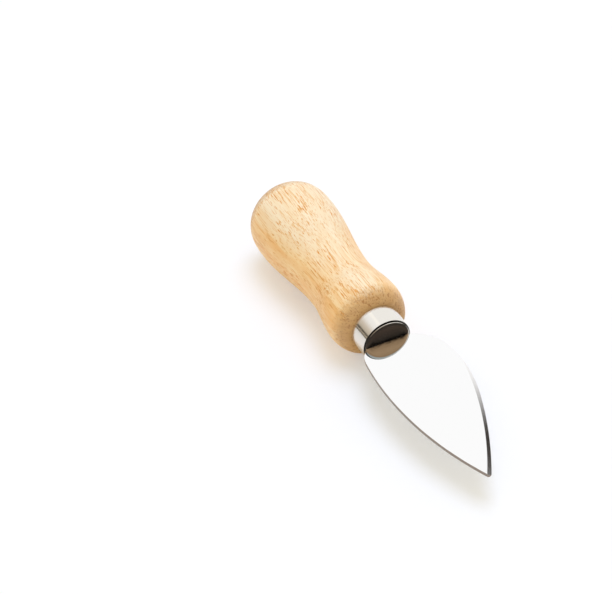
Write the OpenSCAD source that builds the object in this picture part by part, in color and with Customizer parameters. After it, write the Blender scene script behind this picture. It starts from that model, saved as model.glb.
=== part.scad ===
// Small cheese knife with a pointed leaf blade, lying on a table.
// A turned beech handle, a drawn steel ferrule and a stamped steel blade, with the blade's
// tang set in resin inside the handle. Millimetres. +X points to the tip, +Z is up, the
// blade's sharpened belly is on the +Y side.

/* [Blade] */
// Length of the blade, from the ferrule's end face to the tip
blade_length = 60.5; // [50:0.5:75]
// Thickness of the steel sheet
blade_thickness = 1.2; // [0.8:0.1:2]
// Width of the blade where it meets the ferrule
neck_width = 15; // [12:0.1:16]
// Angle at which the belly leaves the ferrule
belly_flare = 66; // [50:1:75]
// Radius of the belly's shoulder
belly_shoulder_radius = 13.4; // [10:0.1:18]
// Slope at which the shoulder hands over to the belly
belly_rise = 7.5; // [2:0.5:15]
// Radius of the belly where the blade is widest
belly_radius = 46; // [35:1:60]
// Radius of the long sharpened edge
edge_radius = 152; // [110:1:200]
// Angle at which the spine leaves the ferrule
spine_flare = 46; // [35:1:55]
// Radius of the spine's shoulder
spine_shoulder_radius = 9.2; // [6:0.1:12]
// Radius of the long spine
spine_radius = 99; // [85:1:160]
// Radius of the rounded tip
tip_radius = 0.7; // [0.4:0.1:1.5]
// How far the tip lies from the axis, towards the spine
tip_offset = 0.7; // [0:0.1:3]
// Widest place of the ground bevel along the edge
bevel_width = 1.2; // [0.6:0.1:1.6]
// Radius of the path along which the bevel is ground
grinding_radius = 125; // [100:1:150]
// Thickness left at the edge after grinding
edge_thickness = 0.3; // [0.2:0.05:0.6]

/* [Tang] */
// Width of the tang inside the handle
tang_width = 7; // [5:0.5:8]
// How far each face of the tang is pressed in, so that the blade's shoulders cover the slot
tang_relief = 0.15; // [0.1:0.05:0.3]
// Length of the tang behind the ferrule's end face
tang_length = 34; // [20:1:40]
// Radius of the keying notches in the tang's sides
notch_radius = 1.2; // [0.8:0.1:1.5]
// Distance from the tang's end to its last notches
notch_inset = 5; // [4:0.5:6]
// Distance between the two pairs of notches
notch_pitch = 9; // [6:0.5:12]

/* [Ferrule] */
// Outer diameter of the ferrule behind its end face
ferrule_diameter = 15.8; // [15.6:0.1:18]
// Outer diameter of the ferrule at its open back end
ferrule_back_diameter = 16.7; // [16:0.1:18.5]
// Length of the ferrule
ferrule_length = 7.9; // [6:0.1:12]
// Thickness of the ferrule's wall and end
ferrule_wall = 0.7; // [0.5:0.1:1]
// How far the middle of the end face bulges
ferrule_crown = 0.2; // [0.1:0.05:0.4]
// Width of the rounded rim of the end face
ferrule_rim_width = 2; // [1:0.1:3]
// How far the rounded rim falls back towards the side
ferrule_rim_depth = 0.7; // [0.3:0.1:0.8]

/* [Handle] */
// Length of the wood that shows behind the ferrule
handle_length = 70; // [63:0.5:80]
// Diameter of the flat land of wood round the ferrule
land_diameter = 17; // [16.2:0.1:20]
// Diameter of the front bulb
front_bulb_diameter = 25.3; // [22:0.1:28]
// Distance from the ferrule to the widest place of the front bulb
front_bulb_at = 7.8; // [6:0.1:10]
// Diameter of the waist
waist_diameter = 22; // [16:0.2:24]
// Distance from the ferrule to the waist
waist_at = 23; // [18:0.5:28]
// Diameter of the rear bulb
rear_bulb_diameter = 29; // [26:0.5:32]
// Distance from the ferrule to the widest place of the rear bulb
rear_bulb_at = 56.8; // [48:0.1:60]
// Fullness of the rounded butt, where 2 is an ellipse
butt_fullness = 2.7; // [2:0.1:3.5]
// Diameter of the bore drilled for the tang
bore_diameter = 9; // [8.5:0.1:11]
// Depth of the straight bore past the tang's end
bore_margin = 1.5; // [0.5:0.5:4]
// Point angle of the drill
drill_angle = 118; // [90:1:140]

/* [Fits] */
// Gap between the tang and the ferrule's slot
slot_clearance = 0.1; // [0.05:0.05:0.3]
// Gap between the wooden spigot and the inside of the ferrule
spigot_clearance = 0.05; // [0.02:0.01:0.2]

/* [Hidden] */
$fn = 96;
// Facets of the wide cutters that grind the bevels
grind_facets = 360;
// Steps in each long arc, belly arc, shoulder arc and small corner of an outline
long_steps = 28;
belly_steps = 16;
shoulder_steps = 12;
corner_steps = 5;
// Steps across the middle of the ferrule's end face, and across its rounded rim
crown_steps = 4;
rim_steps = 8;
// Steps along each stretch of the turned handle
turned_steps = 14;
// How far cutters reach past what they cut
overrun = 1;
// How far the tang reaches into the blade, which makes the two one piece
tang_root = 1.5;
tang_thickness = blade_thickness - 2 * tang_relief;
// Places of the notches along the tang
notch_places = [notch_inset - tang_length, notch_inset + notch_pitch - tang_length];

ferrule_radius = ferrule_diameter / 2;
ferrule_back_radius = ferrule_back_diameter / 2;
cup_radius = ferrule_radius - ferrule_wall;
cup_back_radius = ferrule_back_radius - ferrule_wall;
cup_front = -ferrule_wall - ferrule_crown;
spigot_front = cup_front - spigot_clearance;
bore_radius = bore_diameter / 2;
bore_end = -tang_length - bore_margin;
drill_tip = bore_radius / tan(drill_angle / 2);

land_radius = land_diameter / 2;
front_bulb_radius = front_bulb_diameter / 2;
waist_radius = waist_diameter / 2;
rear_bulb_radius = rear_bulb_diameter / 2;
butt_length = handle_length - rear_bulb_at;
front_bulb_x = -ferrule_length - front_bulb_at;
waist_x = -ferrule_length - waist_at;
rear_bulb_x = -ferrule_length - rear_bulb_at;

// Points of an arc round a centre, from one angle to another
function arc(centre, radius, from, to, steps) =
    [for (i = [0:steps]) let (a = from + (to - from) * i / steps)
        centre + radius * [cos(a), sin(a)]];

function flip(points) = [for (p = points) [p[0], -p[1]]];
function without_last(points) = [for (i = [0:len(points) - 2]) points[i]];
function reversed(points) = [for (i = [len(points) - 1:-1:0]) points[i]];
function heading(v) = atan2(v[1], v[0]);

// Centre of the shoulder arc that leaves the neck's corner at the flare angle
function shoulder_centre(flare, radius) =
    [radius * sin(flare), neck_width / 2 - radius * cos(flare)];

// Centre of the long arc that is tangent to a first circle and to the tip circle
function long_centre(first, first_radius, tip, radius) =
    let (apart = norm(tip - first),
         along = (tip - first) / apart,
         to_first = radius - first_radius,
         to_tip = radius - tip_radius,
         run = (to_first * to_first - to_tip * to_tip + apart * apart) / (2 * apart),
         drop = sqrt(to_first * to_first - run * run))
    first + run * along - drop * [-along[1], along[0]];

tip_centre = [blade_length - tip_radius, -tip_offset];
tip_mirrored = [tip_centre[0], tip_offset];
belly_start = 90 + belly_rise;
belly_shoulder = shoulder_centre(belly_flare, belly_shoulder_radius);
belly_centre = belly_shoulder
    - (belly_radius - belly_shoulder_radius) * [cos(belly_start), sin(belly_start)];
edge_centre = long_centre(belly_centre, belly_radius, tip_centre, edge_radius);
edge_start = heading(belly_centre - edge_centre);
edge_finish = heading(tip_centre - edge_centre);
grinding_centre = long_centre(belly_centre, belly_radius, tip_centre, grinding_radius);
grinding_start = heading(belly_centre - grinding_centre);
grinding_finish = heading(tip_centre - grinding_centre);
spine_shoulder = shoulder_centre(spine_flare, spine_shoulder_radius);
spine_centre = long_centre(spine_shoulder, spine_shoulder_radius, tip_mirrored, spine_radius);
spine_start = heading(spine_shoulder - spine_centre);
spine_finish = heading(tip_mirrored - spine_centre);

// Both sides run from the neck to the tip, and the spine is drawn towards +Y and flipped
belly_points = concat(
    without_last(arc(belly_shoulder, belly_shoulder_radius, 90 + belly_flare, belly_start,
        shoulder_steps)),
    without_last(arc(belly_centre, belly_radius, belly_start, edge_start, belly_steps)),
    arc(edge_centre, edge_radius, edge_start, edge_finish, long_steps));
spine_points = flip(concat(
    without_last(arc(spine_shoulder, spine_shoulder_radius, 90 + spine_flare, spine_start,
        shoulder_steps)),
    arc(spine_centre, spine_radius, spine_start, spine_finish, long_steps)));
tip_points = arc(tip_centre, tip_radius, edge_finish, -spine_finish, corner_steps);
leaf_outline = concat(without_last(belly_points), without_last(tip_points),
    reversed(spine_points));

// The end face's bulge, as how far it falls back at a radius
function crown_fall(radius) = ferrule_crown * pow(radius / ferrule_radius, 2);

// The ferrule's end face as [radius, x], with a slight bulge and a rounded rim
crown_radius = ferrule_radius - ferrule_rim_width;
end_face = concat(
    [for (i = [0:crown_steps - 1]) let (r = crown_radius * i / crown_steps)
        [r, -crown_fall(r)]],
    [for (i = [0:rim_steps]) let (a = 90 * i / rim_steps,
         r = crown_radius + ferrule_rim_width * sin(a))
        [r, -crown_fall(r) - ferrule_rim_depth * (1 - cos(a))]]);

// Share of the way through a smooth rise from 0 to 1
function ease(share) = (1 - cos(180 * share)) / 2;

// Stretches of the turned profile, as [radius, x] from the ferrule to the butt
land_to_front_bulb = [for (i = [0:turned_steps]) let (a = 90 * i / turned_steps)
    [land_radius + (front_bulb_radius - land_radius) * sin(a),
     -ferrule_length - front_bulb_at * (1 - cos(a))]];
front_bulb_to_waist = [for (i = [1:turned_steps]) let (share = i / turned_steps)
    [front_bulb_radius + (waist_radius - front_bulb_radius) * ease(share),
     front_bulb_x + (waist_x - front_bulb_x) * share]];
waist_to_rear_bulb = [for (i = [1:turned_steps]) let (share = i / turned_steps)
    [waist_radius + (rear_bulb_radius - waist_radius) * ease(share),
     waist_x + (rear_bulb_x - waist_x) * share]];
rear_bulb_to_butt = [for (i = [1:turned_steps]) let (a = 90 * i / turned_steps)
    [i == turned_steps ? 0 : rear_bulb_radius * pow(cos(a), 2 / butt_fullness),
     rear_bulb_x - butt_length * pow(sin(a), 2 / butt_fullness)]];
turned_profile = concat(land_to_front_bulb, front_bulb_to_waist, waist_to_rear_bulb,
    rear_bulb_to_butt);

// The knife rests on both bulbs, so its axis leans down towards the smaller one
lean = atan((rear_bulb_radius - front_bulb_radius) / (front_bulb_x - rear_bulb_x));
rest_height = rear_bulb_x * sin(lean) + rear_bulb_radius * cos(lean);
butt_reach = min([for (p = turned_profile) p[1] * cos(lean) - p[0] * sin(lean)]);
tip_reach = tip_centre[0] * cos(lean) + tip_radius;
middle_x = (butt_reach + tip_reach) / 2;

// Lays the knife on the table, with the origin under the middle of its length
module lay_down() {
    translate([-middle_x, 0, rest_height])
        rotate([0, lean, 0])
            children();
}

// Turns an outline of [radius, x] points about the knife's axis
module turn(points) {
    rotate([0, 90, 0])
        rotate_extrude()
            polygon(points);
}

// The drilled hole for the tang, from a given place to its pointed end
module bore(front) {
    turn([
        [0, front],
        [bore_radius, front],
        [bore_radius, bore_end],
        [0, bore_end - drill_tip]]);
}

// The notched tang, stamped in one piece with the blade and pressed thinner
module tang() {
    translate([0, 0, -tang_thickness / 2])
        linear_extrude(tang_thickness)
            difference() {
                translate([-tang_length, -tang_width / 2])
                    square([tang_length + tang_root, tang_width]);
                for (x = notch_places)
                    for (y = [-tang_width / 2, tang_width / 2])
                        translate([x, y])
                            circle(notch_radius);
            }
}

module handle() {
    color("#E2B97E")
    difference() {
        turn(concat(
            [[0, spigot_front],
             [cup_radius - spigot_clearance, spigot_front],
             [cup_back_radius - spigot_clearance, -ferrule_length]],
            turned_profile));
        bore(spigot_front + overrun);
    }
}

module ferrule() {
    color("#C9CCCE")
    difference() {
        turn(concat(
            end_face,
            [[ferrule_back_radius, -ferrule_length],
             [cup_back_radius, -ferrule_length],
             [cup_radius, cup_front],
             [0, cup_front]]));
        cube([
            2 * (overrun - cup_front),
            tang_width + 2 * slot_clearance,
            tang_thickness + 2 * slot_clearance], center = true);
    }
}

// Ring that grinds the bevel on one face, and runs out where the belly leaves its path
module grinding_ring() {
    top = blade_thickness / 2;
    fall = (top - edge_thickness / 2) / bevel_width;
    run_out = sqrt(2 * bevel_width / (1 / belly_radius - 1 / grinding_radius));
    spare = (run_out + overrun) / grinding_radius * 180 / PI;
    sweep = grinding_start - grinding_finish + 2 * spare;
    translate([grinding_centre[0], grinding_centre[1], 0])
        rotate([0, 0, grinding_finish - spare])
            rotate_extrude(angle = sweep, $fn = grind_facets)
                polygon([
                    [grinding_radius - 2 * bevel_width, top + bevel_width * fall],
                    [grinding_radius + bevel_width, top - 2 * bevel_width * fall],
                    [grinding_radius + bevel_width, top + bevel_width * fall]]);
}

module blade() {
    color("#DDE0E2") {
        difference() {
            translate([0, 0, -blade_thickness / 2])
                linear_extrude(blade_thickness)
                    polygon(leaf_outline);
            grinding_ring();
            mirror([0, 0, 1])
                grinding_ring();
        }
        tang();
    }
}

module tang_resin() {
    color("#D8C690")
    difference() {
        bore(cup_front);
        tang();
    }
}

lay_down() handle();
lay_down() ferrule();
lay_down() blade();
lay_down() tang_resin();
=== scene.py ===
"""Small cheese knife with a pointed leaf blade, lying on a white table.

A turned beech handle, a drawn steel ferrule and a stamped, mirror-buffed steel blade.
Metres. +X points to the tip, +Z is up, the blade's sharpened belly is on the +Y side.
"""
import math

import bmesh
import bpy
from mathutils import Matrix, Vector


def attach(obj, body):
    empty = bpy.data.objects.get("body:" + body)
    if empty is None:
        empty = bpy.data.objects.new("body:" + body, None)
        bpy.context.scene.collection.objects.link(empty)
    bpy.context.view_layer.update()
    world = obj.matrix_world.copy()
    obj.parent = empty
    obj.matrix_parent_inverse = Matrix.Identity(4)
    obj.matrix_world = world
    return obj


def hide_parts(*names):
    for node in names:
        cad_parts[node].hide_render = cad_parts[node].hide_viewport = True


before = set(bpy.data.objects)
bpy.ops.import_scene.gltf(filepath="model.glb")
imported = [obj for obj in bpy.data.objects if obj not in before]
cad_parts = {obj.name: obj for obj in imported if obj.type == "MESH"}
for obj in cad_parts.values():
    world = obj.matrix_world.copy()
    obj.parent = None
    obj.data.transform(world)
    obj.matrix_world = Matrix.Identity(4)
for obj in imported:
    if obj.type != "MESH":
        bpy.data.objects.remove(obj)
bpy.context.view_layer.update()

MM = 0.001

# The knife's sizes, as in the part's source, in millimetres
BLADE_LENGTH = 60.5
TIP_RADIUS = 0.7
TANG_WIDTH = 7
TANG_THICKNESS = 0.9
TANG_LENGTH = 34
SLOT_CLEARANCE = 0.1
FERRULE_RADIUS = 7.9
FERRULE_BACK_RADIUS = 8.35
FERRULE_LENGTH = 7.9
FERRULE_WALL = 0.7
FERRULE_CROWN = 0.2
RIM_WIDTH = 2
RIM_DEPTH = 0.7
SPIGOT_CLEARANCE = 0.05
HANDLE_LENGTH = 70
LAND_RADIUS = 8.5
FRONT_BULB_RADIUS = 12.65
FRONT_BULB_AT = 7.8
WAIST_RADIUS = 11
WAIST_AT = 23
REAR_BULB_RADIUS = 14.5
REAR_BULB_AT = 56.8
BUTT_FULLNESS = 2.7
BORE_RADIUS = 4.5
BORE_MARGIN = 1.5
DRILL_ANGLE = math.radians(118)

CUP_RADIUS = FERRULE_RADIUS - FERRULE_WALL
CUP_BACK_RADIUS = FERRULE_BACK_RADIUS - FERRULE_WALL
CUP_FRONT = -FERRULE_WALL - FERRULE_CROWN
SPIGOT_FRONT = CUP_FRONT - SPIGOT_CLEARANCE
BORE_END = -TANG_LENGTH - BORE_MARGIN
DRILL_TIP = BORE_END - BORE_RADIUS / math.tan(DRILL_ANGLE / 2)
FRONT_BULB_X = -FERRULE_LENGTH - FRONT_BULB_AT
WAIST_X = -FERRULE_LENGTH - WAIST_AT
REAR_BULB_X = -FERRULE_LENGTH - REAR_BULB_AT
BUTT_LENGTH = HANDLE_LENGTH - REAR_BULB_AT

# Steps along each stretch of the turned handle, across the parts of the ferrule's end face,
# and round everything that is turned
TURNED_STEPS = 32
CROWN_STEPS = 6
RIM_STEPS = 16
ROUND_STEPS = 192
# Power of the ferrule's rounded rim: 2 would be an ellipse, and more is fuller
RIM_FULLNESS = 2.8
# Slopes between which the ferrule's rounded rim is painted dark: a painted reflection of the
# dark surroundings that it mirrors
PAINTED_DARK_RIM_FROM = math.radians(24)
PAINTED_DARK_RIM_TO = math.radians(85)
# Length of the ring behind the ferrule's rim that keeps the shading of its side straight
RIM_SUPPORT = 0.1
# Distance within which points count as one, on turned pieces and on the CAD blade
MERGE_DISTANCE = 0.0001
BLADE_MERGE_DISTANCE = 0.001
# Turn between two faces from which their edge is sharp
SHARP_ANGLE = math.radians(35)
BLADE_SHARP_ANGLE = math.radians(30)
# Turn up to which two of the CAD blade's faces are one
COPLANAR_ANGLE = math.radians(0.1)
# Rounding of the blade's tumbled edges, and the steps in it
EDGE_ROUNDING = 0.12
EDGE_STEPS = 3
# Least share of a face's normal that points across the blade, on its flats and its bevels
FLAT_SHARE = 0.999
BEVEL_SHARE = 0.5
# Places of the blade's materials
FLAT = 0
BEVEL = 1
CUT_EDGE = 2
# Place of the ferrule's material for its rim, painted dark as a painted reflection
PAINTED_DARK_RIM = 1


def ease(share):
    """Share of the way through a smooth rise from 0 to 1."""
    return (1 - math.cos(math.pi * share)) / 2


def turned_profile():
    """The handle's outline as (x, radius), from the ferrule to the butt."""
    points = []
    for i in range(TURNED_STEPS + 1):
        angle = math.pi / 2 * i / TURNED_STEPS
        points.append((-FERRULE_LENGTH - FRONT_BULB_AT * (1 - math.cos(angle)),
                       LAND_RADIUS + (FRONT_BULB_RADIUS - LAND_RADIUS) * math.sin(angle)))
    for start_x, end_x, start_radius, end_radius in (
            (FRONT_BULB_X, WAIST_X, FRONT_BULB_RADIUS, WAIST_RADIUS),
            (WAIST_X, REAR_BULB_X, WAIST_RADIUS, REAR_BULB_RADIUS)):
        for i in range(1, TURNED_STEPS + 1):
            share = i / TURNED_STEPS
            points.append((start_x + (end_x - start_x) * share,
                           start_radius + (end_radius - start_radius) * ease(share)))
    for i in range(1, TURNED_STEPS + 1):
        angle = math.pi / 2 * i / TURNED_STEPS
        radius = REAR_BULB_RADIUS * max(math.cos(angle), 0) ** (2 / BUTT_FULLNESS)
        points.append((REAR_BULB_X - BUTT_LENGTH * math.sin(angle) ** (2 / BUTT_FULLNESS),
                       radius if i < TURNED_STEPS else 0))
    return points


# The knife rests on both bulbs, so its axis leans down towards the smaller one
LEAN = math.atan((REAR_BULB_RADIUS - FRONT_BULB_RADIUS) / (FRONT_BULB_X - REAR_BULB_X))
REST_HEIGHT = REAR_BULB_X * math.sin(LEAN) + REAR_BULB_RADIUS * math.cos(LEAN)
BUTT_REACH = min(x * math.cos(LEAN) - radius * math.sin(LEAN) for x, radius in turned_profile())
TIP_REACH = (BLADE_LENGTH - TIP_RADIUS) * math.cos(LEAN) + TIP_RADIUS
MIDDLE_X = (BUTT_REACH + TIP_REACH) / 2
LAY_DOWN = (Matrix.Translation(Vector((-MIDDLE_X, 0, REST_HEIGHT)) * MM)
            @ Matrix.Rotation(LEAN, 4, "Y"))


# Materials

# Direction across the beech's growth rings, along the knife's own axes, how far they wave,
# and the distances across them, nearly heights above the axis, between which the top of
# the handle is painted pale as painted light, in millimetres
ACROSS_RINGS = (-0.08, 0, 1)
RING_WAVE = 8
PAINTED_LIGHT_FROM = 13
PAINTED_LIGHT_TO = 18.5


def srgb(code):
    """A colour written as sRGB hex, turned to linear with full alpha."""
    channels = [int(code[i:i + 2], 16) / 255 for i in (1, 3, 5)]
    return [c / 12.92 if c <= 0.04045 else ((c + 0.055) / 1.055) ** 2.4
            for c in channels] + [1.0]


def add_node(owner, kind, settings=None, inputs=None, stops=()):
    """Adds a node with its settings. An input is a plain value, or a socket to link from,
    and a colour ramp takes its stops as places and colours."""
    node = owner.node_tree.nodes.new(kind)
    for name, value in (settings or {}).items():
        setattr(node, name, value)
    for name, value in (inputs or {}).items():
        if isinstance(value, bpy.types.NodeSocket):
            owner.node_tree.links.new(value, node.inputs[name])
        else:
            node.inputs[name].default_value = value
    for i, (place, colour) in enumerate(stops):
        marks = node.color_ramp.elements
        mark = marks[i] if i < len(marks) else marks.new(place)
        mark.position = place
        mark.color = srgb(colour)
    return node


def new_material(name):
    """An empty material and its shader."""
    material = bpy.data.materials.new(name)
    material.use_nodes = True
    material.node_tree.nodes.clear()
    shader = add_node(material, "ShaderNodeBsdfPrincipled")
    add_node(material, "ShaderNodeOutputMaterial", inputs={"Surface": shader.outputs[0]})
    return material, shader


def link(material, socket, node, name):
    material.node_tree.links.new(socket, node.inputs[name])


def own_axes(material, scale):
    """Coordinates along the knife's own axes, from the ferrule's end face, times a scale."""
    place = LAY_DOWN.inverted()
    coordinates = add_node(material, "ShaderNodeTexCoord")
    laid = add_node(material, "ShaderNodeMapping", inputs={
        "Vector": coordinates.outputs["Object"],
        "Location": place.to_translation(),
        "Rotation": place.to_euler()})
    return add_node(material, "ShaderNodeMapping", inputs={
        "Vector": laid.outputs[0],
        "Scale": scale}).outputs[0]


def strokes(material, scale, sparse, dense, strength):
    """Where broken strokes show along the grain: noise of a scale in cells per metre along
    each axis, above a level that goes from sparse to dense in patches of about 10 mm."""
    lines = add_node(material, "ShaderNodeTexNoise", inputs={
        "Vector": own_axes(material, scale), "Scale": 1.0, "Detail": 2.0, "Roughness": 0.6})
    patches = add_node(material, "ShaderNodeTexNoise", inputs={
        "Vector": own_axes(material, (60, 160, 160)), "Scale": 1.0, "Detail": 1.0})
    level = add_node(material, "ShaderNodeMapRange", inputs={
        "Value": patches.outputs["Fac"],
        "From Min": 0.35, "From Max": 0.65, "To Min": sparse, "To Max": dense})
    above = add_node(material, "ShaderNodeMath", {"operation": "SUBTRACT"}, {
        0: lines.outputs["Fac"], 1: level.outputs[0]})
    return add_node(material, "ShaderNodeMapRange", inputs={
        "Value": above.outputs[0],
        "From Min": 0.0, "From Max": 0.04, "To Min": 0.0, "To Max": strength}).outputs[0]


def tinted(material, colour, tone, share):
    """A colour socket, mixed towards a tone by a share."""
    return add_node(material, "ShaderNodeMix", {"data_type": "RGBA"}, {
        "Factor": share, "A": colour, "B": tone}).outputs["Result"]


def ring_distance(material):
    """Distance across the growth rings. They lie nearly flat, rise towards the ferrule and
    wave by about 2 mm over 20 mm, so this is nearly the height, from which the painted
    light on the handle's top is also drawn."""
    waves = add_node(material, "ShaderNodeTexNoise", inputs={
        "Vector": own_axes(material, (50, 120, 120)), "Scale": 1.0, "Detail": 2.0})
    wave_height = add_node(material, "ShaderNodeMath", {"operation": "MULTIPLY"}, {
        0: waves.outputs["Fac"], 1: RING_WAVE * MM})
    height = add_node(material, "ShaderNodeVectorMath", {"operation": "DOT_PRODUCT"}, {
        0: own_axes(material, (1, 1, 1)), 1: ACROSS_RINGS})
    return add_node(material, "ShaderNodeMath", {"operation": "ADD"}, {
        0: height.outputs["Value"], 1: wave_height.outputs[0]}).outputs[0]


def end_grain_and_shade_share(material):
    """How much end grain shows, which is where the surface faces along the knife. The same
    share carries painted shade there.
    """
    facing = add_node(material, "ShaderNodeTexCoord")
    along = add_node(material, "ShaderNodeVectorMath", {"operation": "DOT_PRODUCT"}, {
        0: facing.outputs["Normal"], 1: LAY_DOWN.to_3x3() @ Vector((1, 0, 0))})
    either_way = add_node(material, "ShaderNodeMath", {"operation": "ABSOLUTE"}, {
        0: along.outputs["Value"]})
    return add_node(material, "ShaderNodeMapRange", inputs={
        "Value": either_way.outputs[0],
        "From Min": 0.14, "From Max": 0.55, "To Min": 0.0, "To Max": 0.85}).outputs[0]


def long_grain(material, rings):
    """Colour of the long grain: streaks of warm wood, painted pale on top as if the light fell
    there, which leaves the lower sides warmer as painted shade, with broken ray flecks."""
    # Streaks of denser wood, about 2 mm apart across the grain and 40 mm long
    streaks = add_node(material, "ShaderNodeTexNoise", inputs={
        "Vector": own_axes(material, (25, 450, 450)),
        "Scale": 1.0, "Detail": 4.0, "Roughness": 0.6, "Distortion": 0.3})
    warm = add_node(material, "ShaderNodeValToRGB", inputs={
        "Fac": streaks.outputs["Fac"]}, stops=((0.3, "#F6BE74"), (0.7, "#FFDDA4")))
    # Painted light: the pale tone of the handle's top, where the light falls
    pale = add_node(material, "ShaderNodeValToRGB", inputs={
        "Fac": streaks.outputs["Fac"]}, stops=((0.3, "#F5D8AA"), (0.7, "#FBE8C7")))
    # Painted light: how far the pale top tone shows, by height above the axis
    painted_light_share = add_node(material, "ShaderNodeMapRange", inputs={
        "Value": rings, "From Min": PAINTED_LIGHT_FROM * MM, "From Max": PAINTED_LIGHT_TO * MM,
        "To Min": 0.0, "To Max": 1.0})
    colour = tinted(material, warm.outputs["Color"], pale.outputs["Color"],
                    painted_light_share.outputs[0])
    # Hairline grain 0.3 mm wide, ray flecks 0.5 mm wide, and a few bold ones of 0.8 mm.
    # The hairlines are drawn coarser than real ones so that they show.
    for scale, sparse, dense, strength, tone in (
            ((90, 3000, 3000), 0.59, 0.5, 0.55, "#E6AA54"),
            ((130, 1900, 1900), 0.66, 0.57, 0.9, "#DF9838"),
            ((140, 1200, 1200), 0.71, 0.63, 0.95, "#E4962C")):
        colour = tinted(material, colour, srgb(tone),
                        strokes(material, scale, sparse, dense, strength))
    return colour


def with_end_grain_and_painted_shade(material, colour, rings):
    """A colour, mixed towards that of the end grain where it shows: darker, partly from the oil
    that it soaks up and partly as painted shade, with growth rings and open pores."""
    share = end_grain_and_shade_share(material)
    # Growth rings show there as bands about 1.5 mm apart
    bands = add_node(material, "ShaderNodeTexNoise", {"noise_dimensions": "1D"}, {
        "W": rings, "Scale": 700.0, "Detail": 2.0, "Roughness": 0.6})
    # Partly painted shade: the darker, deeper tone on the handle's ends, most of all on the
    # front shoulder that faces away from the light
    soaked_and_shaded = add_node(material, "ShaderNodeValToRGB", inputs={
        "Fac": bands.outputs["Fac"]}, stops=((0.35, "#BD8D53"), (0.6, "#C99D61")))
    colour = tinted(material, colour, soaked_and_shaded.outputs["Color"], share)
    # Open pores, 0.5 mm across, drawn coarser than real ones so that they show
    pores = add_node(material, "ShaderNodeMath", {"operation": "MULTIPLY"}, {
        0: strokes(material, (800, 2000, 2000), 0.6, 0.53, 0.8), 1: share})
    return tinted(material, colour, srgb("#A5692F"), pores.outputs[0])


def turned_beech():
    """Beech, turned, sanded and oiled: warm wood painted pale straw on top as painted light,
    with broken orange-brown ray flecks along the grain, and darker speckled ends where the end
    grain shows, partly from the oil it soaks up and partly painted shade."""
    material, shader = new_material("turned_beech")
    rings = ring_distance(material)
    colour = with_end_grain_and_painted_shade(material, long_grain(material, rings), rings)
    link(material, colour, shader, "Base Color")
    # Raised fibres, about 0.3 mm apart and 4 mm long
    fibres = add_node(material, "ShaderNodeTexNoise", inputs={
        "Vector": own_axes(material, (250, 3300, 3300)),
        "Scale": 1.0, "Detail": 3.0, "Roughness": 0.6})
    relief = add_node(material, "ShaderNodeBump", inputs={
        "Height": fibres.outputs["Fac"], "Strength": 0.15, "Distance": 0.1 * MM})
    link(material, relief.outputs[0], shader, "Normal")
    roughness = add_node(material, "ShaderNodeMapRange", inputs={
        "Value": fibres.outputs["Fac"],
        "From Min": 0.3, "From Max": 0.7, "To Min": 0.42, "To Max": 0.55})
    link(material, roughness.outputs[0], shader, "Roughness")
    shader.inputs["IOR"].default_value = 1.45
    shader.inputs["Coat Weight"].default_value = 0.25
    shader.inputs["Coat Roughness"].default_value = 0.3
    return material


def lined_steel(name, base, rough, scale, depth):
    """Stainless steel under fine polishing or grinding lines, which streak what it mirrors:
    their scale in cells per metre along each axis, and how deep they are in millimetres."""
    material, shader = new_material(name)
    lines = add_node(material, "ShaderNodeTexNoise", inputs={
        "Vector": own_axes(material, scale),
        "Scale": 1.0, "Detail": 3.0, "Roughness": 0.6})
    roughness = add_node(material, "ShaderNodeMapRange", inputs={
        "Value": lines.outputs["Fac"],
        "From Min": 0.3, "From Max": 0.7, "To Min": rough * 0.7, "To Max": rough * 1.3})
    link(material, roughness.outputs[0], shader, "Roughness")
    relief = add_node(material, "ShaderNodeBump", inputs={
        "Height": lines.outputs["Fac"], "Strength": 1.0, "Distance": depth * MM})
    link(material, relief.outputs[0], shader, "Normal")
    shader.inputs["Base Color"].default_value = srgb(base)
    shader.inputs["Metallic"].default_value = 1.0
    return material


def cured_epoxy():
    """Amber epoxy, poured and cured: a slightly cloudy, glossy plug with small bubbles."""
    material, shader = new_material("cured_epoxy")
    bubbles = add_node(material, "ShaderNodeTexVoronoi", inputs={
        "Vector": own_axes(material, (1200, 1200, 1200)), "Scale": 1.0})
    tone = add_node(material, "ShaderNodeValToRGB", inputs={
        "Fac": bubbles.outputs["Distance"]}, stops=((0.1, "#EADFA8"), (0.4, "#D8C690")))
    link(material, tone.outputs["Color"], shader, "Base Color")
    shader.inputs["Roughness"].default_value = 0.15
    shader.inputs["IOR"].default_value = 1.55
    return material


# Pieces

def finish_piece(name, mesh, materials):
    """Makes an object of a mesh that is already in its place, and lets it ride."""
    piece = bpy.data.objects.new(name, mesh)
    bpy.context.scene.collection.objects.link(piece)
    for material in materials:
        mesh.materials.append(material)
    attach(piece, "root")
    return piece


def spin_profile(points):
    """A bmesh turned about the knife's axis from (x, radius) points in millimetres."""
    bm = bmesh.new()
    line = [bm.verts.new((x * MM, 0, radius * MM)) for x, radius in points]
    edges = [bm.edges.new(pair) for pair in zip(line, line[1:])]
    bmesh.ops.spin(bm, geom=line + edges, cent=(0, 0, 0), axis=(1, 0, 0),
                   angle=2 * math.pi, steps=ROUND_STEPS, use_merge=True)
    bmesh.ops.remove_doubles(bm, verts=bm.verts, dist=MERGE_DISTANCE * MM)
    bmesh.ops.recalc_face_normals(bm, faces=bm.faces)
    return bm


def mesh_of(bm, name):
    """Lays a bmesh on the table, with smooth shading that breaks at sharp edges."""
    bm.transform(LAY_DOWN)
    for face in bm.faces:
        face.smooth = True
    for edge in bm.edges:
        edge.smooth = len(edge.link_faces) == 2 and edge.calc_face_angle() < SHARP_ANGLE
    mesh = bpy.data.meshes.new(name)
    bm.to_mesh(mesh)
    bm.free()
    return mesh


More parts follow.
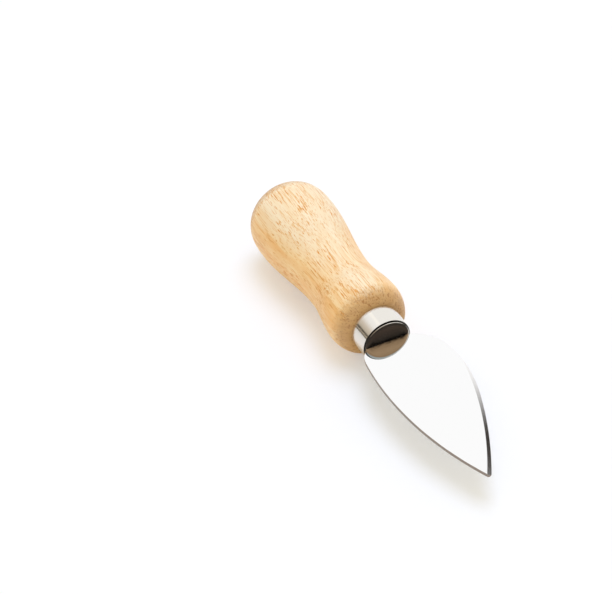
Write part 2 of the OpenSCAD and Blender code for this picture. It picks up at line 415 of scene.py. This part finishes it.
def make_handle():
    """The handle, from the bottom of its drilled bore, over the spigot, to the butt."""
    bore = [(DRILL_TIP, 0), (BORE_END, BORE_RADIUS), (SPIGOT_FRONT, BORE_RADIUS)]
    spigot = [(SPIGOT_FRONT, CUP_RADIUS - SPIGOT_CLEARANCE),
              (-FERRULE_LENGTH, CUP_BACK_RADIUS - SPIGOT_CLEARANCE)]
    bm = spin_profile(bore + spigot + turned_profile())
    piece = finish_piece("beech_handle", mesh_of(bm, "beech_handle"), [turned_beech()])
    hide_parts("handle")


def crown_fall(radius):
    """How far the ferrule's bulging end face falls back at a radius."""
    return FERRULE_CROWN * (radius / FERRULE_RADIUS) ** 2


def cut_slot(bm):
    """Cuts the tang's slot through the ferrule's end."""
    half_width = (TANG_WIDTH / 2 + SLOT_CLEARANCE) * MM
    half_height = (TANG_THICKNESS / 2 + SLOT_CLEARANCE) * MM
    wall_start = (CUP_FRONT - MERGE_DISTANCE) * MM
    for direction in (Vector((0, half_width, 0)), Vector((0, 0, half_height))):
        for side in (1, -1):
            wall = [f for f in bm.faces if all(v.co.x > wall_start for v in f.verts)]
            edges = {e for f in wall for e in f.edges}
            verts = {v for f in wall for v in f.verts}
            bmesh.ops.bisect_plane(
                bm, geom=wall + list(edges) + list(verts), dist=MERGE_DISTANCE * MM,
                plane_co=side * direction, plane_no=side * direction.normalized())
    inside = []
    for face in bm.faces:
        middle = face.calc_center_median()
        if middle.x > wall_start and abs(middle.y) < half_width and abs(middle.z) < half_height:
            inside.append(face)
    bmesh.ops.delete(bm, geom=inside, context="FACES")
    rims = [e for e in bm.edges if len(e.link_faces) == 1]
    bmesh.ops.bridge_loops(bm, edges=rims)
    bmesh.ops.recalc_face_normals(bm, faces=bm.faces)


def make_ferrule(polished, rim_painted_dark):
    """The ferrule, polished all over but for its rim, which is rougher and painted dark: a
    painted reflection of dark surroundings.
    """
    crown_radius = FERRULE_RADIUS - RIM_WIDTH
    points = []
    for i in range(CROWN_STEPS):
        radius = crown_radius * i / CROWN_STEPS
        points.append((-crown_fall(radius), radius))
    for i in range(RIM_STEPS + 1):
        angle = math.pi / 2 * i / RIM_STEPS
        radius = crown_radius + RIM_WIDTH * math.sin(angle) ** (2 / RIM_FULLNESS)
        fall = RIM_DEPTH * (1 - max(math.cos(angle), 0) ** (2 / RIM_FULLNESS))
        points.append((-crown_fall(radius) - fall, radius))
    rim_end = points[-1][0]
    widening = (FERRULE_BACK_RADIUS - FERRULE_RADIUS) / (FERRULE_LENGTH + rim_end)
    points += [
        (rim_end - RIM_SUPPORT, FERRULE_RADIUS + widening * RIM_SUPPORT),
        (-FERRULE_LENGTH, FERRULE_BACK_RADIUS), (-FERRULE_LENGTH, CUP_BACK_RADIUS),
        (CUP_FRONT, CUP_RADIUS), (CUP_FRONT, 0)]
    bm = spin_profile(points)
    cut_slot(bm)
    for face in bm.faces:
        # Painted reflection: the rim's faces between these slopes take the dark steel
        if PAINTED_DARK_RIM_FROM < math.acos(min(face.normal.x, 1)) < PAINTED_DARK_RIM_TO:
            face.material_index = PAINTED_DARK_RIM
    piece = finish_piece("drawn_ferrule", mesh_of(bm, "drawn_ferrule"), [polished, rim_painted_dark])
    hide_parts("ferrule")


def make_blade(buffed, ground, sheared):
    """A merged copy of the CAD blade, with its flats, bevels and cut edge told apart."""
    bm = bmesh.new()
    bm.from_mesh(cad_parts["blade"].data)
    bmesh.ops.remove_doubles(bm, verts=bm.verts, dist=BLADE_MERGE_DISTANCE * MM)
    bmesh.ops.dissolve_limit(bm, angle_limit=COPLANAR_ANGLE, verts=bm.verts, edges=bm.edges)
    across = LAY_DOWN.to_3x3() @ Vector((0, 0, 1))
    for face in bm.faces:
        share = abs(face.normal.dot(across))
        if share > FLAT_SHARE:
            face.material_index = FLAT
        elif share > BEVEL_SHARE:
            face.material_index = BEVEL
        else:
            face.material_index = CUT_EDGE
    # The spine and the belly's shoulder are tumbled round, and the neck stays sharp
    place = LAY_DOWN.inverted()
    tumbled = [e for e in bm.edges
               if sorted(f.material_index for f in e.link_faces) == [FLAT, CUT_EDGE]
               and max((place @ v.co).x for v in e.verts) > EDGE_ROUNDING * MM]
    bmesh.ops.bevel(bm, geom=tumbled, offset=EDGE_ROUNDING * MM, offset_type="OFFSET",
                    affect="EDGES", segments=EDGE_STEPS, profile=0.5, material=-1,
                    clamp_overlap=False)
    # The flats stay flat up to the roundings, and the bevels meet everything at a crease
    for face in bm.faces:
        face.smooth = abs(face.normal.dot(across)) < FLAT_SHARE
    for edge in bm.edges:
        ground_sides = [f.material_index == BEVEL for f in edge.link_faces]
        edge.smooth = (ground_sides in ([True, True], [False, False])
                       and edge.calc_face_angle() < BLADE_SHARP_ANGLE)
    mesh = bpy.data.meshes.new("leaf_blade")
    bm.to_mesh(mesh)
    bm.free()
    piece = finish_piece("leaf_blade", mesh, [buffed, ground, sheared])
    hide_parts("blade")


make_handle()
# The ferrule was polished while it spun, so its lines run round it and streak what it
# mirrors. Its rim is rougher, and painted dark as a painted reflection.
make_ferrule(
    lined_steel("polished_ferrule_steel", "#E4DFD6", 0.05, (6000, 150, 150), 0.02),
    lined_steel("painted_dark_rim_steel", "#2F2B27", 0.22, (6000, 150, 150), 0.02))
# The blade was buffed along its length to a mirror, its bevel was ground across the edge,
# and its sheared edge is matt and painted brownish, a painted reflection of the wood and
# the shaded table
make_blade(
    lined_steel("mirror_buffed_steel", "#F2F1EF", 0.03, (300, 6000, 300), 0.0005),
    lined_steel("ground_bevel_steel", "#EDEBE8", 0.08, (8000, 400, 400), 0.005),
    # Painted reflection: the cut edge's brownish tone stands for the wood and shaded table it
    # faces
    lined_steel("sheared_edge_steel", "#93867A", 0.3, (500, 500, 4000), 0.006))
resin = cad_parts["tang_resin"]
resin.material_slots[0].link = "OBJECT"
resin.material_slots[0].material = cured_epoxy()


# Table, light and camera

# Half the side of the table top, in metres as all that follows
TABLE_REACH = 3
# Share of the table's white that the camera sees as evenly lit, within the reach of the
# knife's shadow, and from where on all of it is
EVEN_SHARE = 0.35
SHADOW_REACH = 0.12
WHITE_FROM = 0.4

# The warm light from all sides
FILL_STRENGTH = 0.76
FILL_COLOUR = "#FFF7E1"

# Where the softbox hangs, seen from the origin, its side, and how bright it is. Its
# diffuser looks as bright as a plainly lit white times its radiance, and each 1 of that
# takes 4 W for each square metre.
LAMP_AZIMUTH = math.radians(130)
LAMP_ELEVATION = math.radians(76)
LAMP_DISTANCE = 1.3
LAMP_SIDE = 0.8
LAMP_RADIANCE = 3.9
LAMP_COLOUR = "#C5D7FF"
WATTS_PER_RADIANCE = 4

# The room that only the steel sees
ROOM_RADIUS = 1.6
ROOM_STEPS = 24
ROOM_STRENGTH = 1.2
ROOM_WHITE = "#F4F5F7"
# What stands past the tip, on the belly's side, on the spine's side and behind the
# handle, by degrees above the table. The steel mirrors these where the photo shows them.
# Painted shade: the black band from 39.7 to 41.5 degrees is mirrored in the ferrule's end face
# as the dark line where the blade meets it
TIP_WALLS = (
    (0, "#DCD6CE"), (8, "#AC9D8B"), (18, "#383330"), (32, "#383330"), (36, "#473D37"),
    (39.4, "#302C29"), (39.7, "#080706"), (41.5, "#080706"), (41.8, "#8C765E"),
    (44, "#A38C72"), (47, "#917A61"), (50, "#9A8269"), (54, "#9EACB4"), (70, "#ACB8BE"),
    (78, ROOM_WHITE))
CABINET = ((20.5, ROOM_WHITE), (24.5, "#383330"), (35, "#383330"), (39, ROOM_WHITE))
SPINE_WALLS = (
    (0, "#524D46"), (3.4, "#524D46"), (4.4, "#AFA595"), (8.2, "#AFA595"), (9.2, "#4A453E"),
    (13.6, "#4A453E"), (16, "#B7AD9E"), (32, "#D2C9BE"), (47, ROOM_WHITE))
WINDOW = (
    (44, ROOM_WHITE), (47, "#FFFFFF"), (68, "#FFFFFF"), (71, ROOM_WHITE))
# Where each of them stands, by degrees from the tip's direction towards the belly's side
TIP_SHARE = ((-30, "#000000"), (-12, "#FFFFFF"), (50, "#FFFFFF"), (64, "#000000"))
CABINET_SHARE = (
    (92, "#000000"), (97, "#FAFAFA"), (109, "#FAFAFA"), (110.5, "#FFFFFF"),
    (114.8, "#FFFFFF"), (121.5, "#000000"))
SPINE_SHARE = ((-160, "#000000"), (-150, "#FFFFFF"), (-80, "#FFFFFF"), (-70, "#000000"))
WINDOW_SHARE = ((-178, "#000000"), (-176, "#FFFFFF"), (-158, "#FFFFFF"), (-156, "#000000"))

# Where the camera stands and looks, and its lens in millimetres on a 36 mm sensor
CAMERA_PLACE = Vector((309.39, -148.52, 301.34)) * MM
CAMERA_AZIMUTH = math.radians(157.71)
CAMERA_PITCH = math.radians(38.78)
CAMERA_ROLL = math.radians(-5.11)
CAMERA_LENS = 86.33
SENSOR_WIDTH = 36


def make_table():
    """A satin white laminate table top. The camera sees part of its white as if it were
    lit evenly, so that the shadows stay pale, and away from the knife it sees nothing but
    white."""
    material, shader = new_material("white_satin_laminate")
    shader.inputs["Base Color"].default_value = srgb("#FCFCFC")
    shader.inputs["Roughness"].default_value = 0.4
    shader.inputs["IOR"].default_value = 1.25
    rays = add_node(material, "ShaderNodeLightPath")
    coordinates = add_node(material, "ShaderNodeTexCoord")
    distance = add_node(material, "ShaderNodeVectorMath", {"operation": "LENGTH"}, {
        0: coordinates.outputs["Object"]})
    even_share = add_node(material, "ShaderNodeMapRange", inputs={
        "Value": distance.outputs["Value"], "From Min": SHADOW_REACH,
        "From Max": WHITE_FROM, "To Min": EVEN_SHARE, "To Max": 1.0})
    evenly = add_node(material, "ShaderNodeMath", {"operation": "MULTIPLY"}, {
        0: rays.outputs["Is Camera Ray"], 1: even_share.outputs[0]})
    glow = add_node(material, "ShaderNodeEmission")
    mixed = add_node(material, "ShaderNodeMixShader", inputs={
        0: evenly.outputs[0], 1: shader.outputs[0], 2: glow.outputs[0]})
    link(material, mixed.outputs[0], material.node_tree.nodes["Material Output"], "Surface")
    bm = bmesh.new()
    bmesh.ops.create_grid(bm, x_segments=1, y_segments=1, size=TABLE_REACH)
    mesh = bpy.data.meshes.new("table")
    bm.to_mesh(mesh)
    bm.free()
    table = bpy.data.objects.new("table", mesh)
    bpy.context.scene.collection.objects.link(table)
    mesh.materials.append(material)


def make_world():
    """Warm light from all sides fills the shadows, and the world looks white when seen."""
    world = bpy.data.worlds.new("white_studio")
    bpy.context.scene.world = world
    world.use_nodes = True
    world.node_tree.nodes.clear()
    rays = add_node(world, "ShaderNodeLightPath")
    seen = 0.0
    for kind in ("Is Camera Ray", "Is Glossy Ray", "Is Transmission Ray"):
        seen = add_node(world, "ShaderNodeMath", {"operation": "MAXIMUM"}, {
            0: seen, 1: rays.outputs[kind]}).outputs[0]
    strength = add_node(world, "ShaderNodeMapRange", inputs={
        "Value": seen, "To Min": FILL_STRENGTH, "To Max": 1.0})
    colour = add_node(world, "ShaderNodeMix", {"data_type": "RGBA"}, {
        "Factor": seen, "A": srgb(FILL_COLOUR), "B": srgb("#FFFFFF")})
    background = add_node(world, "ShaderNodeBackground", inputs={
        "Color": colour.outputs["Result"], "Strength": strength.outputs[0]})
    add_node(world, "ShaderNodeOutputWorld", inputs={"Surface": background.outputs[0]})


def add_softbox():
    """A soft lamp above the knife, which steel sees only as part of the room."""
    light = bpy.data.lights.new("softbox", "AREA")
    light.shape = "SQUARE"
    light.size = LAMP_SIDE
    light.energy = WATTS_PER_RADIANCE * LAMP_SIDE * LAMP_SIDE * LAMP_RADIANCE
    light.color = srgb(LAMP_COLOUR)[:3]
    lamp = bpy.data.objects.new("softbox", light)
    lamp.visible_glossy = False
    bpy.context.scene.collection.objects.link(lamp)
    place = LAMP_DISTANCE * Vector((math.cos(LAMP_ELEVATION) * math.cos(LAMP_AZIMUTH),
                                    math.cos(LAMP_ELEVATION) * math.sin(LAMP_AZIMUTH),
                                    math.sin(LAMP_ELEVATION)))
    lamp.location = place
    lamp.rotation_euler = (-place).to_track_quat("-Z", "Y").to_euler()


def add_room():
    """The room as the steel sees it, which nothing else sees: a dome that is white behind
    the handle, with dark walls and a brown shelf past the tip and, between them, a black band
    of painted shade, a dark cabinet on the belly's side, and two dark lines of furniture low
    down on the spine's side."""
    material = bpy.data.materials.new("room_walls")
    material.use_nodes = True
    material.node_tree.nodes.clear()
    coordinates = add_node(material, "ShaderNodeTexCoord").outputs["Object"]
    place = add_node(material, "ShaderNodeSeparateXYZ", inputs={"Vector": coordinates})
    height = add_node(material, "ShaderNodeMath", {"operation": "DIVIDE"}, {
        0: place.outputs["Z"], 1: ROOM_RADIUS})
    turn = add_node(material, "ShaderNodeTexGradient", {"gradient_type": "RADIAL"}, {
        "Vector": coordinates})
    colour = srgb(ROOM_WHITE)
    # The gradient runs from 0 to 1 with the direction, from -180 to 180 degrees
    for walls, share in ((TIP_WALLS, TIP_SHARE), (CABINET, CABINET_SHARE),
                         (SPINE_WALLS, SPINE_SHARE), (WINDOW, WINDOW_SHARE)):
        wall = add_node(material, "ShaderNodeValToRGB", inputs={"Fac": height.outputs[0]},
                        stops=[(math.sin(math.radians(a)), tone) for a, tone in walls])
        here = add_node(material, "ShaderNodeValToRGB", inputs={"Fac": turn.outputs["Fac"]},
                        stops=[(a / 360 + 0.5, tone) for a, tone in share])
        colour = add_node(material, "ShaderNodeMix", {"data_type": "RGBA"}, {
            "Factor": here.outputs["Color"], "A": colour,
            "B": wall.outputs["Color"]}).outputs["Result"]
    glow = add_node(material, "ShaderNodeEmission", inputs={
        "Color": colour, "Strength": ROOM_STRENGTH})
    add_node(material, "ShaderNodeOutputMaterial", inputs={"Surface": glow.outputs[0]})
    bm = bmesh.new()
    line = []
    for i in range(ROOM_STEPS + 1):
        angle = math.pi / 2 * i / ROOM_STEPS
        line.append(bm.verts.new((ROOM_RADIUS * math.cos(angle), 0,
                                  ROOM_RADIUS * math.sin(angle))))
    edges = [bm.edges.new(pair) for pair in zip(line, line[1:])]
    bmesh.ops.spin(bm, geom=line + edges, cent=(0, 0, 0), axis=(0, 0, 1),
                   angle=2 * math.pi, steps=4 * ROOM_STEPS, use_merge=True)
    bmesh.ops.remove_doubles(bm, verts=bm.verts, dist=MERGE_DISTANCE * MM)
    mesh = bpy.data.meshes.new("room")
    bm.to_mesh(mesh)
    bm.free()
    room = bpy.data.objects.new("room", mesh)
    bpy.context.scene.collection.objects.link(room)
    mesh.materials.append(material)
    room.visible_camera = False
    room.visible_diffuse = False
    room.visible_shadow = False
    room.visible_transmission = False


def make_camera():
    forward = Vector((math.cos(CAMERA_PITCH) * math.cos(CAMERA_AZIMUTH),
                      math.cos(CAMERA_PITCH) * math.sin(CAMERA_AZIMUTH),
                      -math.sin(CAMERA_PITCH)))
    level = forward.cross(Vector((0, 0, 1))).normalized()
    right = math.cos(CAMERA_ROLL) * level + math.sin(CAMERA_ROLL) * level.cross(forward)
    up = right.cross(forward)
    data = bpy.data.cameras.new("camera")
    data.sensor_fit = "HORIZONTAL"
    data.sensor_width = SENSOR_WIDTH
    data.lens = CAMERA_LENS
    camera = bpy.data.objects.new("camera", data)
    bpy.context.scene.collection.objects.link(camera)
    turn = Matrix((right, up, -forward)).transposed().to_4x4()
    camera.matrix_world = Matrix.Translation(CAMERA_PLACE) @ turn
    bpy.context.scene.camera = camera


make_table()
make_world()
add_softbox()
add_room()
make_camera()

bpy.context.scene.view_settings.view_transform = "Standard"
